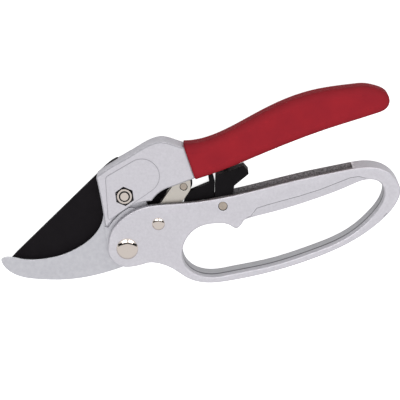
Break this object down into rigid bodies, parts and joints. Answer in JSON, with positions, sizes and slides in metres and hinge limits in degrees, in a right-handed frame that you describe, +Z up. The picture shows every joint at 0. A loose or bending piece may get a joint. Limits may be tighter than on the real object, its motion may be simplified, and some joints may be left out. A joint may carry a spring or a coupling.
{
  "type": "pruning shears",
  "caption": "Ratchet pruning shears: black bypass blade and hook jaw, red sleeved handle, cast handle with a finger guard, stepped link and thumb lock.",
  "frame": {"origin": "middle of the whole part on the table, closed and lying on its side", "axes": "+X towards the handles' ends, +Y towards the sleeved handle, +Z up from the table, the side with the nut"},
  "size_m": [0.2034, 0.102, 0.0184],
  "materials": {
    "cast_silver": "satin silver lacquer on a casting",
    "red_sleeve": "satin red soft sleeve",
    "coated_blade": "black non-stick coat on steel",
    "plated_jaw": "satin plated steel",
    "bright_fasteners": "bright zinc plated steel",
    "insert_ring": "dark nylon",
    "plain_steel": "plain pressed steel",
    "spring_steel": "drawn spring wire",
    "black_moulding": "black moulded nylon"
  },
  "bodies": {
    "upper": {"upper_handle": "cast_silver", "grip_sleeve": "red_sleeve", "blade": "coated_blade", "blade_screw": "bright_fasteners", "pivot_bolt": "bright_fasteners", "pivot_nut": "bright_fasteners", "nut_insert": "insert_ring", "pivot_bush": "plain_steel", "keeper_pin": "plain_steel"},
    "jaw": {"hook_jaw": "plated_jaw"},
    "lower": {"lower_handle": "cast_silver", "handle_rivet": "bright_fasteners", "link_rivet": "bright_fasteners", "hub_washers": "plain_steel", "return_spring": "black_moulding", "lock_pin": "plain_steel"},
    "link": {"ratchet_link": "plain_steel", "ratchet_pin": "plain_steel", "link_spacer": "plain_steel", "link_spring": "spring_steel"},
    "lock": {"lock_lever": "black_moulding"}
  },
  "joints": [
    {"name": "jaw_pivot", "type": "hinge", "parent": "upper", "child": "jaw", "pos_m": [-0.0378, -0.0052, 0.008], "axis": [0, 0, 1], "range_deg": [0, 30]},
    {"name": "handle_pivot", "type": "hinge", "parent": "jaw", "child": "lower", "pos_m": [-0.0366, -0.0326, 0.008], "axis": [0, 0, 1], "range_deg": [-57.2, 0]},
    {"name": "link_pivot", "type": "hinge", "parent": "lower", "child": "link", "pos_m": [-0.0207, -0.0195, 0.008], "axis": [0, 0, 1], "range_deg": [0, 76.4], "deforming": ["link_spring"]},
    {"name": "lock_pivot", "type": "hinge", "parent": "lower", "child": "lock", "pos_m": [0.012, -0.0102, 0.008], "axis": [0, 0, 1], "range_deg": [-28, 0]}
  ],
  "couplings": [
    {"joint": "handle_pivot", "follows": "jaw_pivot", "ratio": -1.9},
    {"joint": "link_pivot", "follows": "jaw_pivot", "ratio": 2.54}
  ]
}
